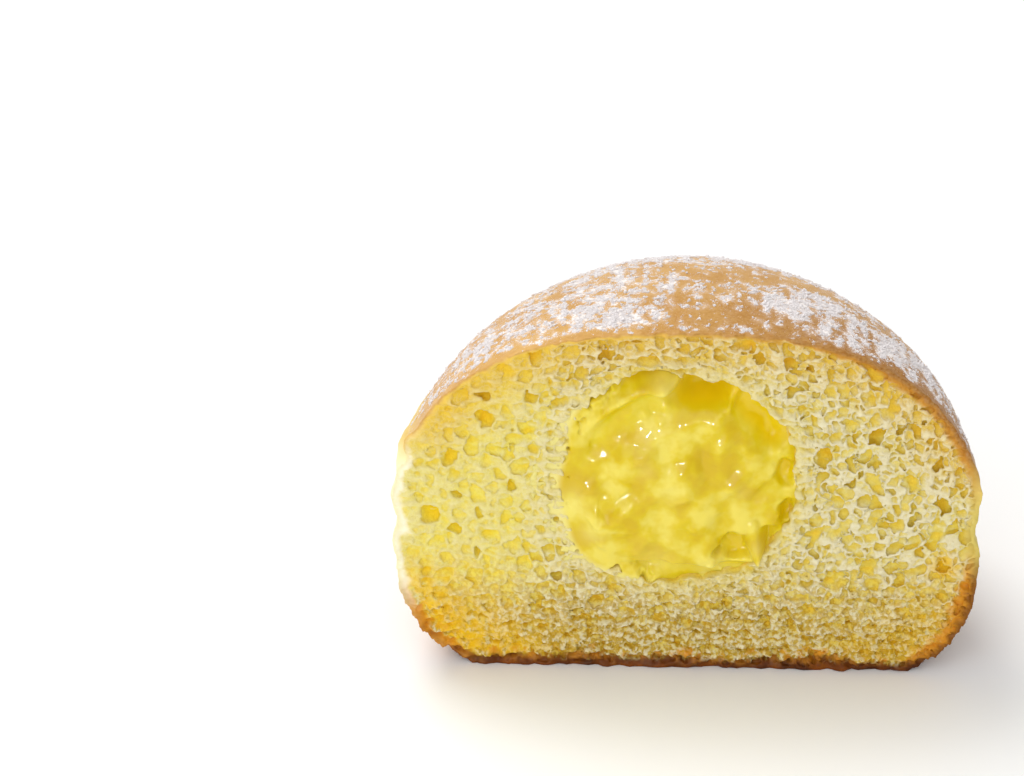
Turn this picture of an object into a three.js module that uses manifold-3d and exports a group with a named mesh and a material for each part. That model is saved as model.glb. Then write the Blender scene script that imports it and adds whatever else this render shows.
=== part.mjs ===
// Half of a cream-filled doughnut: a round fried bun cut upright, so that the flat face towards -Y
// shows the open crumb and the cream inside it.
// Millimetres, +Z up, standing on its flat base.

import * as THREE from "three";
import { mergeVertices } from "three/addons/utils/BufferGeometryUtils.js";
import Module from "manifold-3d";

const wasm = await Module();
wasm.setup();

// The whole bun, before the cut. Its upright axis is at x = 0, y = 0.
const RADIUS = 44.4; // towards the sides
const BACK_RADIUS = 52.5; // towards the back
const HEIGHT = 60.7;
const WIDEST_AT = 23.6; // height of the widest level
const CUT_Y = 4; // the cut passes this far behind the axis
const DOME_POWER = 2.53; // 2 is an ellipse, and more is boxier
const BASE_POWER = 3; // on average round the bun
const BASE_POWER_SWING = 0.15; // boxier towards +X, rounder towards -X
const BASE_TRIM = 4.8; // how far the round underside would reach below the flat base
const SKIN_DETAIL = 17;
const MERGE_DISTANCE = 1e-4; // vertices as close as this are one

// The pale belt round the bun has a shallow crease, and swells under the edge of the cap, most of all
// towards -X. Each wavers in height, and its depth swings from the mean, deepest towards +X. A depth
// below 0 is a swell.
const CREASES = [
  { height: 26, waver: 1.6, waves: 3, width: 3.2, depth: 0.6, swing: 0.45 },
  { height: 36.5, waver: 1, waves: 2, width: 4.5, depth: -0.4, swing: 0.5 },
];

// Slow unevenness of the skin: size, waves in one turn, and where they start.
const LUMPS = [
  { size: 0.4, waves: 2, start: 0.8 },
  { size: 0.3, waves: 3, start: 2.1 },
  { size: 0.2, waves: 5, start: 0.3 },
];

// The cream, seen on the cut face.
const CREAM_X = -1.6;
const CREAM_Z = 34.6;
const CREAM_RADIUS = 18.3;
const CREAM_DEPTH = 15;
const CREAM_RIM_SETBACK = 0.4; // its rim lies this far behind the cut
const CREAM_GAP = 0.3; // between the cream and its pocket in the dough
const POCKET_REACH = 3; // the pocket is open this far past the cut
const CREAM_AROUND = 44;
const CREAM_ACROSS = 24;
const CREAM_FACE_POWER = 4; // how close to its rim the face keeps its relief

// Waves of the cream's ragged rim.
const RIM_WAVES = [
  { size: 0.55, waves: 2, start: 4.71 },
  { size: 0.4, waves: 3, start: 1.94 },
  { size: 0.4, waves: 4, start: 4.92 },
  { size: 0.3, waves: 9, start: 4.0 },
];

// Hollows and swells of the cream's face, measured from its middle. A depth above 0 sinks it.
const CREAM_FACE = [
  { x: 4, z: 14, reach: 5, depth: 3.4 }, // the hollow under the top rim
  { x: -6, z: 10, reach: 5, depth: 1.2 },
  { x: -3, z: -5, reach: 9, depth: -1.9 }, // the belly of the cream
  { x: -3, z: -13, reach: 4, depth: -1.0 }, // the lower lip
  { x: 8.9, z: -12.2, reach: 3, depth: 2.8 }, // the hollow behind the drip
  { x: 14.5, z: -7, reach: 3.5, depth: 2.2 },
  { x: 15, z: 1.6, reach: 3, depth: 1.8 },
];

// The most open pores of the crumb on the cut face: place, width, height, and lean to +X in degrees.
const OPEN_PORES = [
  [20.3, 39.2, 3, 5.2, 0],
  [28.2, 43, 3, 5.2, 25],
  [31.6, 44.4, 1.8, 3.8, 25],
  [37.4, 38, 2.2, 4.4, 0],
  [38.4, 30.6, 2.6, 6.6, -14],
  [34.2, 28.1, 1.8, 4.8, 18],
  [28.6, 24, 1.5, 1.8, 0],
  [24.4, 34.6, 2, 4, 25],
  [19.4, 29.9, 1.5, 2.4, 15],
  [-30.6, 48.8, 2.6, 2.8, 40],
  [-23.8, 49, 1.9, 2.6, 30],
  [-30.6, 44.9, 3, 2.6, 40],
  [-36, 37.6, 2.3, 3.2, 0],
  [-26.4, 32.8, 1.5, 2.7, 0],
  [-35, 31, 1.5, 2.7, -20],
  [-31.4, 28.1, 1.3, 3, -8],
  [-38.8, 27.5, 3, 3.6, 0],
  [-35.2, 24.9, 2.6, 2.4, 0],
  [-19.5, 16.7, 2.3, 3.2, 10],
  [-31.5, 20.7, 1.5, 3, 0],
  [-12.4, 56.7, 3.2, 2.8, 0],
  [-5.8, 55.7, 4.4, 2, 0],
  [-1.2, 58.1, 2.8, 1.6, 0],
  [10.3, 56.3, 2.2, 3.4, 0],
  [14.7, 55.5, 2.8, 3.2, 0],
  [17.9, 54.7, 1.8, 3, 0],
  [-15.9, 53.2, 3.6, 2, -50],
];

// Rounder bubbles fill the rest of the face, largest first.
const BUBBLE_SIZES = [
  { radius: 1.7, count: 8 },
  { radius: 1.25, count: 44 },
  { radius: 0.95, count: 60 },
];
const BUBBLE_STRETCH = 1.35; // along the skin
const BUBBLE_SINK = 0.25; // a pore's middle lies behind the cut, as a share of half its width
const BUBBLE_WALL = 0.7; // least dough between two pores
const CRUST_WALL = 2.2; // least dough between a bubble and the skin
const POCKET_WALL = 1.4; // least dough between a bubble and the cream
const SMALL_PORE = 2.6; // pores narrower than this have fewer facets
const MOST_TRIES = 4000;

// A closed geometry as a solid that can be joined and cut.
function solidOf(geometry) {
  const bare = geometry.clone();
  bare.deleteAttribute("normal");
  bare.deleteAttribute("uv");
  const merged = mergeVertices(bare, MERGE_DISTANCE);
  return new wasm.Manifold(
    new wasm.Mesh({
      numProp: 3,
      vertProperties: merged.attributes.position.array,
      triVerts: new Uint32Array(merged.index.array),
    }),
  );
}

// A solid's surface as a geometry.
function geometryOf(solid) {
  const mesh = solid.getMesh();
  const geometry = new THREE.BufferGeometry();
  geometry.setAttribute("position", new THREE.BufferAttribute(mesh.vertProperties, 3));
  geometry.setIndex(new THREE.BufferAttribute(mesh.triVerts, 1));
  geometry.computeVertexNormals();
  return geometry;
}

// Moves each vertex of a geometry to the place that a function gives for it.
function reshape(geometry, placeOf) {
  const position = geometry.attributes.position;
  const vertex = new THREE.Vector3();
  for (let i = 0; i < position.count; i++) {
    const place = placeOf(vertex.fromBufferAttribute(position, i));
    position.setXYZ(i, place.x, place.y, place.z);
  }
  return geometry;
}

function sumOfWaves(waves, angle) {
  return waves.reduce((sum, w) => sum + w.size * Math.sin(w.waves * angle + w.start), 0);
}

// How far the belt is drawn in, at a height and a turn round the axis.
function creaseDepth(height, turn) {
  return CREASES.reduce((sum, c) => {
    const at = c.height + c.waver * Math.sin(c.waves * turn);
    const depth = c.depth + c.swing * Math.cos(turn);
    return sum + depth * Math.exp(-(((height - at) / c.width) ** 2));
  }, 0);
}

// How far the bun reaches from its axis at its widest level.
function widestRadius(turn) {
  return 1 / Math.hypot(Math.cos(turn) / RADIUS, Math.sin(turn) / BACK_RADIUS);
}

// How far the skin is from the middle of the widest level, along a unit direction.
function skinDistance(direction) {
  const turn = Math.atan2(direction.y, direction.x);
  const level = Math.hypot(direction.x, direction.y);
  const rising = direction.z > 0;
  const half = rising ? HEIGHT - WIDEST_AT : WIDEST_AT + BASE_TRIM;
  const power = rising ? DOME_POWER : BASE_POWER + BASE_POWER_SWING * Math.cos(turn);
  const share = (level / widestRadius(turn)) ** power + (Math.abs(direction.z) / half) ** power;
  const smooth = share ** (-1 / power);
  const creases = creaseDepth(WIDEST_AT + smooth * direction.z, turn);
  const lumps = Math.sin(turn) * sumOfWaves(LUMPS, turn);
  return smooth + lumps * level ** 2 - creases * level;
}

// How far inside the skin a point of the cut face lies, seen from the middle.
function sectionMargin(x, z) {
  const offset = new THREE.Vector3(x, CUT_Y, z - WIDEST_AT);
  const distance = offset.length();
  return skinDistance(offset.divideScalar(distance)) - distance;
}

function wholeBun() {
  const ball = new THREE.IcosahedronGeometry(1, SKIN_DETAIL);
  return reshape(ball, (direction) => {
    const place = direction.normalize();
    place.multiplyScalar(skinDistance(place));
    place.z += WIDEST_AT;
    return place;
  });
}

// Everything behind the cut and above the flat base.
function keptSide() {
  const side = 2 * (BACK_RADIUS + HEIGHT);
  const block = new THREE.BoxGeometry(side, side, side);
  block.translate(0, CUT_Y + side / 2, side / 2);
  return block;
}

function creamRim(angle) {
  return CREAM_RADIUS + sumOfWaves(RIM_WAVES, angle);
}

// How far the cream's face is sunk behind the cut, away from its rim.
function creamFace(x, z) {
  return CREAM_FACE.reduce((sum, bump) => {
    const away = Math.hypot(x - bump.x, z - bump.z) / bump.reach;
    return sum + bump.depth * Math.exp(-(away ** 2));
  }, 0);
}

// A bowl-shaped back with the cream's own rim, grown all round by a gap, and a front of the given shape.
function creamShape(gap, frontAt) {
  const ball = new THREE.SphereGeometry(1, CREAM_AROUND, CREAM_ACROSS);
  return reshape(ball, (direction) => {
    const rim = creamRim(Math.atan2(direction.z, direction.x)) + gap;
    const x = direction.x * rim;
    const z = direction.z * rim;
    const level = Math.hypot(direction.x, direction.z);
    const back = Math.max(direction.y, 0) * (CREAM_DEPTH + gap);
    const front = direction.y < 0 ? frontAt(x, z, level) : 0;
    return new THREE.Vector3(CREAM_X + x, CUT_Y + CREAM_RIM_SETBACK + back + front, CREAM_Z + z);
  });
}

// The face keeps level with its rim there, and takes its hollows and swells further in.
function creamGeometry() {
  return creamShape(0, (x, z, level) => (1 - level ** CREAM_FACE_POWER) * creamFace(x, z));
}

// The pocket runs out through the cut, so that it is open in front.
function pocketGeometry() {
  return creamShape(CREAM_GAP, () => -POCKET_REACH);
}

// One number of a sequence that fills 0 to 1 evenly.
function evenShare(index, base) {
  let share = 0;
  let step = 1 / base;
  for (let rest = index; rest > 0; rest = Math.floor(rest / base)) {
    share += step * (rest % base);
    step /= base;
  }
  return share;
}

// The open pores, and then bubbles that keep clear of the skin, the cream, the pores and each other.
function porePlaces() {
  const places = OPEN_PORES.map(([x, z, wide, high, lean]) => {
    return { x, z, wide, high, lean: THREE.MathUtils.degToRad(lean) };
  });
  let tries = 0;
  for (const { radius, count } of BUBBLE_SIZES) {
    const wide = 2 * radius;
    const high = wide * BUBBLE_STRETCH;
    for (let made = 0; made < count && tries < MOST_TRIES; ) {
      tries += 1;
      const x = RADIUS * (2 * evenShare(tries, 2) - 1);
      const z = HEIGHT * evenShare(tries, 3);
      const angle = Math.atan2(z - CREAM_Z, x - CREAM_X);
      const fromCream = Math.hypot(x - CREAM_X, z - CREAM_Z) - creamRim(angle);
      const clear =
        z > high / 2 + CRUST_WALL &&
        sectionMargin(x, z) > high / 2 + CRUST_WALL &&
        fromCream > high / 2 + POCKET_WALL &&
        places.every((p) => {
          const apart = Math.hypot(x - p.x, z - p.z);
          return apart > (Math.max(p.wide, p.high) + high) / 2 + BUBBLE_WALL;
        });
      if (!clear) continue;
      places.push({ x, z, wide, high, lean: -angle });
      made += 1;
    }
  }
  return places;
}

// One pore, as deep as it is wide.
function pore({ x, z, wide, high, lean }) {
  const ball = new THREE.IcosahedronGeometry(wide / 2, wide < SMALL_PORE ? 0 : 1);
  ball.scale(1, 1, high / wide);
  ball.rotateY(lean);
  ball.translate(x, CUT_Y + (BUBBLE_SINK * wide) / 2, z);
  return ball;
}

function doughGeometry() {
  let dough = solidOf(wholeBun()).intersect(solidOf(keptSide()));
  dough = dough.subtract(solidOf(pocketGeometry()));
  for (const place of porePlaces()) dough = dough.subtract(solidOf(pore(place)));
  return geometryOf(dough);
}

function namedMesh(name, geometry, look) {
  const mesh = new THREE.Mesh(geometry, new THREE.MeshStandardMaterial(look));
  mesh.name = name;
  return mesh;
}

const pieces = new THREE.Group();
pieces.add(
  namedMesh("dough", doughGeometry(), { color: 0xd9a860, roughness: 0.6, metalness: 0 }),
  namedMesh("cream", creamGeometry(), { color: 0xe8d24c, roughness: 0.25, metalness: 0 }),
);

// The origin is under the middle of the half, on the surface that it stands on.
const box = new THREE.Box3().setFromObject(pieces);
const middle = box.getCenter(new THREE.Vector3());
pieces.position.set(-middle.x, -middle.y, -box.min.z);

const halfDoughnut = new THREE.Group();
halfDoughnut.add(pieces);

export default halfDoughnut;
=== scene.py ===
"""Half of a cream-filled doughnut: golden skin, open crumb, glossy cream and icing sugar.

Shapes are worked out in millimetres round the bun's upright axis, most of them as surfaces of
fields on a grid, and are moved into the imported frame, in metres, when their meshes are made.
"""

import math

import bpy
import numpy as np
import openvdb
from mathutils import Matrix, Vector


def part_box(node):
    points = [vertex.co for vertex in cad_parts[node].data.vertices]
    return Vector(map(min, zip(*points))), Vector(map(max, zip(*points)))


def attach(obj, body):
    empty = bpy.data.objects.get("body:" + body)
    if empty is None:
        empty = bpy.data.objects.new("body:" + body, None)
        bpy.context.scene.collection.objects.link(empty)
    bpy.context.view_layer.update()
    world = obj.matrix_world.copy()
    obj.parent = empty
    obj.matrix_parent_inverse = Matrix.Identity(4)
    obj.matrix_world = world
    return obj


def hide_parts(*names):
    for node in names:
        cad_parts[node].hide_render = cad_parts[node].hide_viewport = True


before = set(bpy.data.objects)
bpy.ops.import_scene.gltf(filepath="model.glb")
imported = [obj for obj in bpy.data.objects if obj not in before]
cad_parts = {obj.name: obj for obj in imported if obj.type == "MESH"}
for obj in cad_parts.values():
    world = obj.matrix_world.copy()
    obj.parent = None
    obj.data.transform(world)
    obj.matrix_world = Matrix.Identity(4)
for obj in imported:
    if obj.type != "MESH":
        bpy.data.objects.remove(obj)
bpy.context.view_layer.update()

MM = 0.001

# The bun, with the same sizes as its solids.
RADIUS = 44.4
BACK_RADIUS = 52.5
HEIGHT = 60.7
WIDEST_AT = 23.6
CUT_Y = 4.0
DOME_POWER = 2.53
BASE_POWER = 3.0
BASE_POWER_SWING = 0.15
BASE_TRIM = 4.8
# Crease and swell of the belt: height, waver, waves, width, depth, swing of the depth.
CREASES = (
    (26.0, 1.6, 3, 3.2, 0.6, 0.45),
    (36.5, 1.0, 2, 4.5, -0.4, 0.5),
)
# Waves round the bun: size, number, start.
LUMPS = ((0.4, 2, 0.8), (0.3, 3, 2.1), (0.2, 5, 0.3))

# The pale belt is wider towards -X, and lower at the back. Its edges and its two folds waver.
BELT_TOP = 37.0
BELT_BOTTOM = 18.0
BELT_WIDENS = 3.0
BELT_SINKS = 3.0
BELT_WAVER = 0.8
FOLD_AT = 27.0
SECOND_FOLD_BELOW = 4.5
FOLD_EDGE = 0.3  # half the height over which the skin turns in at a fold
FOLD_REACH = 3.5
SECOND_FOLD_REACH = 2.5
FOLD_DEPTH = 0.75
# How the folds rise, sink and deepen round the bun: size, number, start.
FOLD_WAVES = ((1.2, 3, 0.6), (0.7, 7, 0.0))
SECOND_FOLD_WAVES = ((1.5, 2, 1.0),)
FOLD_DEPTH_WAVES = ((0.35, 2, 2.0), (0.25, 5, 0.0))
SECOND_FOLD_DEPTH_WAVES = ((0.5, 3, 1.2),)
# The cap's lip over the belt: how far it stands out, its place below the belt's top, and reach.
CAP_LIP = (0.35, 1.5, 2.2)
# Unevenness of the skin: size, seed and length.
BELT_LUMPS = (0.22, 71, 6.0)
DIMPLES = (0.05, 72, 2.2)
RAGGED_SIDE = (0.4, 73, 4.2)
SKIN_WAVES = 8  # in each of these three fields
# Steps of the skin beside the cut on the right: size, height and reach.
SIDE_STEPS = ((0.55, 36.0, 4.5), (0.45, 28.0, 3.5), (-0.35, 23.0, 2.0))
# The baked rind under the skin: its thickness on the cap, and how much thicker it is in places.
RIND = 0.85
RIND_IN_BELT = 0.9
RIND_RIGHT_OF_CAP = 1.1
RIND_RIGHT_OF_BASE = 1.3
RIND_LEFT_OF_BASE = 0.5
RIND_ROUGHNESS = 0.3
THINNEST_RIND = 0.3
SOLE = 2.6
THINNEST_SOLE = 1.6
# How the browning wavers, the rind's grain and the sole's waver: size, seed and length.
BROWNING_WAVER = ((0.9, 31, 16.0), (0.15, 32, 5.0))
RIND_GRAIN = ((1.0, 33, 2.5), (0.6, 34, 1.1))
SOLE_WAVER = (0.4, 35, 9.0)

# The cream.
CREAM_X = -1.6
CREAM_Z = 34.6
CREAM_RADIUS = 18.3
CREAM_DEPTH = 15.0
CREAM_RIM_SETBACK = 0.4
CREAM_GAP = 0.3
RIM_WAVES = ((0.55, 2, 4.71), (0.4, 3, 1.94), (0.4, 4, 4.92), (0.3, 9, 4.0))
CREAM_VOXEL = 0.24
CREAM_ROOM = (4.0, 4.8, 2.0)  # round its field: at the sides, in front of the cut and behind
POCKET_ROUGHNESS = (0.25, 8, 2.4)  # size, seed and length of its unevenness
# The belly of the cream: how far it stands out, its place from the middle, and how fast it falls.
BELLY = 1.7
BELLY_AT = (-1.5, -4.0)
BELLY_FALL = 0.0085
BELLY_ROUGHNESS = ((0.42, 62, 7.0), (0.16, 63, 3.2), (0.025, 64, 1.5))  # size, seed and length
# The smear past the rim: its middle round the rim in radians, spread, width, least width, depth,
# and how far its front lies behind the cut at the rim and outside.
SMEAR_MIDDLE = -2.95
SMEAR_SPREAD = 0.95
SMEAR_WIDTH = 3.6
SMEAR_LEAST = -0.5
SMEAR_DEPTH = 0.7
SMEAR_FRONT = -0.12
SMEAR_SINKS = 0.4
SMEAR_ROUGHNESS = ((0.5, 66, 3.0), (0.25, 67, 1.2))
# The thin cream below the lip and in the hollows: its level behind the cut, and its unevenness.
THIN_LEVEL = 1.4
THIN_ROUGHNESS = (0.25, 61, 5.0)
# Hollows of the cream: place from its middle, half width and half height.
CREAM_NOTCHES = (
    (9.1, -12.2, 2.8, 2.7),
    (14.1, -10.3, 1.5, 2.3),
    (16.4, -5.8, 1.2, 2.1),
    (16.2, 1.2, 1.7, 2.5),
)
HOLLOW_DEPTH = 1.0
HOLLOW_ROUGHNESS = ((0.3, 65, 2.6), (0.12, 68, 1.2))
# Torn edges of the cream: height, reach, and points. The left side of the line stands out.
CREAM_EDGES = (
    (0.6, 4.0, ((6.2, -0.7), (3.9, 0.4), (3.0, 3.0), (3.1, 5.0), (2.6, 7.5))),
    (0.7, 3.0, ((-18.0, -5.6), (-15.7, -7.0), (-13.8, -7.0), (-11.9, -8.3), (-10.2, -7.2))),
    (0.6, 3.0, ((-15.6, -9.3), (-13.0, -11.4), (-10.9, -12.9), (-10.4, -15.6))),
    (0.7, 3.0, ((9.0, 6.6), (10.5, 4.6), (12.5, 4.4), (14.0, 6.0))),
    (0.45, 2.5, ((6.6, -0.6), (8.5, -2.2), (11.0, -3.8))),
    (0.4, 2.5, ((-7.6, 7.4), (-5.0, 6.6), (-2.6, 7.6))),
    (0.4, 3.0, ((-4.4, -2.4), (-1.0, -3.8), (2.6, -2.8))),
    (1.0, 1.5, ((7.2, 16.2), (7.5, 13.5), (7.7, 10.4))),
)
# The cream's lower lip, and the drip that hangs over it: its two ends, height and radius.
LIP_HEIGHT = -15.5
LIP_WAVER = 0.3
LIP_DROPS = 0.6  # towards +X
DRIP = ((11.3, -8.0), (12.7, -15.8))
DRIP_HEIGHT = 0.9
DRIP_RADIUS = 1.3
DRIP_NARROWS = 0.7
# Groove and roll along the rim, and a groove on the left: size, place, reach, and where along its
# line each starts, is full, fades and ends, in degrees round the rim or in height.
RIM_GROOVE = (1.7, 15.4, 2.0, 18, 26, 54, 60)
RIM_ROLL = (2.0, 16.4, 1.2, 92, 104, 140, 156)
LEFT_GROOVE = (0.5, -16.2, 1.5, -3, 0, 5, 8)
# Dips of the cream, and flaps that stand out: size, place, the two reaches, and power.
CREAM_DIPS = ((4.0, 4.0, 15.4, 3.7, 2.6, 4), (1.6, -4.0, 12.0, 6.0, 3.0, 2))
CREAM_FLAPS = ((4.2, -1.9, 16.9, 2.2, 1.5, 2), (1.4, -0.1, 18.4, 0.9, 1.2, 2))
# Small wet beads that catch the light.
BEAD_HEIGHT = 0.55
BEAD_REACH = 0.8
CREAM_BEADS = (
    (-15.7, 2.1), (-15.6, 0.0), (-11.5, 12.3), (-9.0, 13.9), (-6.2, 16.1), (-5.1, 11.0), (-2.0, 12.6),
    (-2.8, 10.2), (7.0, 13.9), (7.6, 12.6), (15.0, 5.1), (2.5, -7.9), (5.5, -14.9), (-11.4, -11.9),
)
# Where the cream is painted paler, as painted highlights on its proud parts: place, reach and share.
PAINTED_CREAM_HIGHLIGHTS = (
    (-1.9, 17.0, 2.4, 0.7),
    (-15.6, -4.4, 2.6, 0.55),
    (-12.6, -10.0, 2.0, 0.6),
    (-3.0, -14.4, 4.0, 0.3),
    (5.4, -15.4, 2.0, 0.7),
    (-4.6, 7.6, 2.2, 0.45),
    (-5.0, 2.4, 1.8, 0.3),
    (-1.0, -1.6, 2.4, 0.35),
    (9.2, -2.0, 1.8, 0.3),
    (12.0, -12.0, 1.5, 0.4),
)

# The most open pores, as in the solids: place, width, height, and lean to +X in degrees.
OPEN_PORES = (
    (20.3, 39.2, 3.0, 5.2, 0),
    (28.2, 43.0, 3.0, 5.2, 25),
    (31.6, 44.4, 1.8, 3.8, 25),
    (37.4, 38.0, 2.2, 4.4, 0),
    (38.4, 30.6, 2.6, 6.6, -14),
    (34.2, 28.1, 1.8, 4.8, 18),
    (28.6, 24.0, 1.5, 1.8, 0),
    (24.4, 34.6, 2.0, 4.0, 25),
    (19.4, 29.9, 1.5, 2.4, 15),
    (-30.6, 48.8, 2.6, 2.8, 40),
    (-23.8, 49.0, 1.9, 2.6, 30),
    (-30.6, 44.9, 3.0, 2.6, 40),
    (-36.0, 37.6, 2.3, 3.2, 0),
    (-26.4, 32.8, 1.5, 2.7, 0),
    (-35.0, 31.0, 1.5, 2.7, -20),
    (-31.4, 28.1, 1.3, 3.0, -8),
    (-38.8, 27.5, 3.0, 3.6, 0),
    (-35.2, 24.9, 2.6, 2.4, 0),
    (-19.5, 16.7, 2.3, 3.2, 10),
    (-31.5, 20.7, 1.5, 3.0, 0),
    (-12.4, 56.7, 3.2, 2.8, 0),
    (-5.8, 55.7, 4.4, 2.0, 0),
    (-1.2, 58.1, 2.8, 1.6, 0),
    (10.3, 56.3, 2.2, 3.4, 0),
    (14.7, 55.5, 2.8, 3.2, 0),
    (17.9, 54.7, 1.8, 3.0, 0),
    (-15.9, 53.2, 3.6, 2.0, -50),
)
# One more, low on the right, that oil has soaked.
OILY_PORE = (39.0, 19.4, 2.4, 3.2, 10)

# Shallow cells that cover the cut, and small holes that open behind them: radius and tries.
CELLS = ((1.1, 250), (0.85, 2000), (0.66, 8000), (0.5, 24000), (0.38, 60000), (0.28, 50000))
HOLES = ((0.8, 60), (0.55, 180), (0.38, 260))
CELL_STRETCH = 1.5  # along the skin
LEAST_SHRINK = 0.5  # of the cells where the crumb is pressed together
# How the bubbles differ near the base, beside the cream in fibres, and on the coarse left.
BASE_SHRINK = 0.3
BASE_ROUNDNESS = 0.5
FIBRE_SHRINK = 0.45
FIBRE_STRETCH = 0.9
COARSE_GROWTH = 0.2
COARSE_FLATNESS = 0.25
COARSE_APART = 0.7
STRETCH_SPREAD = (-0.2, 0.3)
LEAN_SPREAD = 0.35
# How far bubbles reach, in half sizes: cells, how much less on the left, and open pores.
CELL_SWELL = 1.7
COARSE_SWELL = 0.45
PORE_SWELL = 1.05
MOST_BUBBLES = 40_000
FAR_AWAY = 1e3
# Least distance of two bubbles, as a share of their two radii.
CELL_APART = 0.68
HOLE_APART = 1.6
# How far behind the cut a bubble's centre lies, and its half depth, as shares of its radius.
CELL_LEVEL = (-0.05, 0.15)
CELL_FLATNESS = (0.32, 0.55)
HOLE_LEVEL = (0.2, 0.5)
HOLE_FLATNESS = (0.45, 0.7)
CELL_WALL = 0.22
COARSE_WALL = 0.26  # how much thicker the walls are on the left
LEAST_RIND = 0.6  # no bubble comes closer to the skin
# The torn face between the cells: size, extra size where the crumb is tufted, seed and length.
TEARS = ((0.16, 0.0, 5, 3.2), (0.09, 0.2, 6, 1.3), (0.05, 0.1, 9, 0.7))
# Room round the dough's field: in front of the cut, at the sides, behind, below and above.
ROOM = (1.2, 2.0, 3.0, 0.9, 1.8)
ON_SKIN = 0.2  # what lies less deep than this belongs to the skin
SLAB = 4.0  # how far behind the cut the crumb is worked out
VOXEL = 0.17
VOXEL_GROWTH = 1.12  # from layer to layer behind the slab
THICKEST_LAYER = 0.7
CRUST_TRIANGLES = 26_000
CRUMB_TRIANGLES = 170_000

# Shapes of a grain of icing sugar: corners and faces.
EIGHT_SIDED = (
    ((1, 0, 0), (-1, 0, 0), (0, 1, 0), (0, -1, 0), (0, 0, 1), (0, 0, -1)),
    ((0, 2, 4), (2, 1, 4), (1, 3, 4), (3, 0, 4), (2, 0, 5), (1, 2, 5), (3, 1, 5), (0, 3, 5)),
)
FOUR_SIDED = (
    ((1, 1, 1), (1, -1, -1), (-1, 1, -1), (-1, -1, 1)),
    ((0, 1, 2), (0, 3, 1), (0, 2, 3), (1, 3, 2)),
)
# Kinds of grain: seed, places tried, most grains, how softly the drifts end, share of stray grains,
# radius and shape.
SUGAR = {
    "sugar_clumps": (50, 130_000, 24_000, 0.36, 0.02, 0.105, EIGHT_SIDED),
    "sugar_grains": (51, 150_000, 24_000, 0.42, 0.07, 0.075, EIGHT_SIDED),
    "sugar_dust": (52, 260_000, 48_000, 0.6, 0.18, 0.06, FOUR_SIDED),
}
SUGAR_CLUMPING = ((0.22, 42, 5.0), (0.3, 43, 2.0), (0.26, 44, 0.9))  # size, seed and length
FILM_SOFTNESS = 0.65  # of the powder on the skin between the grains
# Drifts of icing sugar on the dome, in plan: x, distance from the cut, their reaches, and weight.
SUGAR_DRIFTS = (
    (17.0, 12.0, 15.0, 6.0, 0.28),
    (33.0, 7.0, 8.0, 8.0, 0.3),
    (-16.0, 12.0, 10.0, 6.0, 0.3),
    (-30.0, 9.0, 7.0, 7.0, 0.1),
    (4.0, 31.0, 22.0, 7.0, 0.3),
    (14.0, 22.0, 9.0, 3.5, -0.5),
    (4.0, 4.0, 12.0, 3.0, -0.4),
)

# The camera, at the photograph's viewing angle.
ELEVATION = math.radians(33)
AZIMUTH = math.radians(2)
DISTANCE = 0.898
LENS = 210.0
SCALE = 6.65  # pixels of the photograph for a millimetre of the cut face
SEEN_HEIGHT = 34.7
SEEN_PIXEL = (688, 479.6)
IMAGE_CENTRE = (512, 388)

# Lamps: place and size in metres, and power in watts.
LAMPS = {
    "key": ((-0.35, 0.3, 0.9), 0.5, 5.5),
    "fill": ((-0.25, -0.9, 0.6), 1.2, 5.2),
    "spark": ((-0.3, -0.85, 0.3), 0.09, 2.8),
}
SKY_LIGHT = 0.6
FLOOR_SIZE = 6


def sum_of_waves(waves, angle):
    return sum(size * np.sin(number * angle + start) for size, number, start in waves)


def random_field(x, y, z, seed, length, count=12):
    """A smooth random field with a mean of 0, a spread of 1 and features of about this length."""
    rng = np.random.default_rng(seed)
    total = 0.0
    for _ in range(count):
        direction = rng.normal(size=3)
        direction *= 2 * math.pi / (length * rng.uniform(0.7, 1.4) * np.linalg.norm(direction))
        along = direction[0] * x + direction[1] * y + direction[2] * z
        total = total + np.sin(along + rng.uniform(0, 2 * math.pi))
    return total * math.sqrt(2 / count)


def layered_field(x, y, z, *layers, count=12):
    """Random fields on top of each other, from rows of size, seed and length."""
    return sum(size * random_field(x, y, z, seed, length, count) for size, seed, length in layers)


def ease(value, start, end):
    """Rises smoothly from 0 at start to 1 at end."""
    share = np.clip((value - start) / (end - start), 0, 1)
    return share * share * (3 - 2 * share)


def hill(away, reach):
    return np.exp(-((away / reach) ** 2))


def crease_depth(height, turn):
    total = 0.0
    for at, waver, waves, width, depth, swing in CREASES:
        place = at + waver * np.sin(waves * turn)
        total = total + (depth + swing * np.cos(turn)) * hill(height - place, width)
    return total


def skin_depth(x, y, z):
    """How far inside the skin a point lies, towards the middle of the widest level."""
    up = z - WIDEST_AT
    out = np.sqrt(x * x + y * y)
    distance = np.sqrt(out * out + up * up) + 1e-6
    turn = np.arctan2(y, x)
    level = out / distance
    rise = up / distance
    power = np.where(rise > 0, DOME_POWER, BASE_POWER + BASE_POWER_SWING * np.cos(turn))
    half = np.where(rise > 0, HEIGHT - WIDEST_AT, WIDEST_AT + BASE_TRIM)
    radius = 1 / np.hypot(np.cos(turn) / RADIUS, np.sin(turn) / BACK_RADIUS)
    smooth = ((level / radius) ** power + (np.abs(rise) / half) ** power) ** (-1 / power)
    creases = crease_depth(WIDEST_AT + smooth * rise, turn)
    lumps = np.sin(turn) * sum_of_waves(LUMPS, turn)
    return smooth + lumps * level**2 - creases * level - distance


def skin_point(direction):
    """The points where unit directions from the middle of the widest level meet the skin."""
    origin = np.array([0.0, 0.0, WIDEST_AT])
    point = origin + direction
    return origin + direction * (skin_depth(*point.T) + 1)[:, None]


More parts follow.
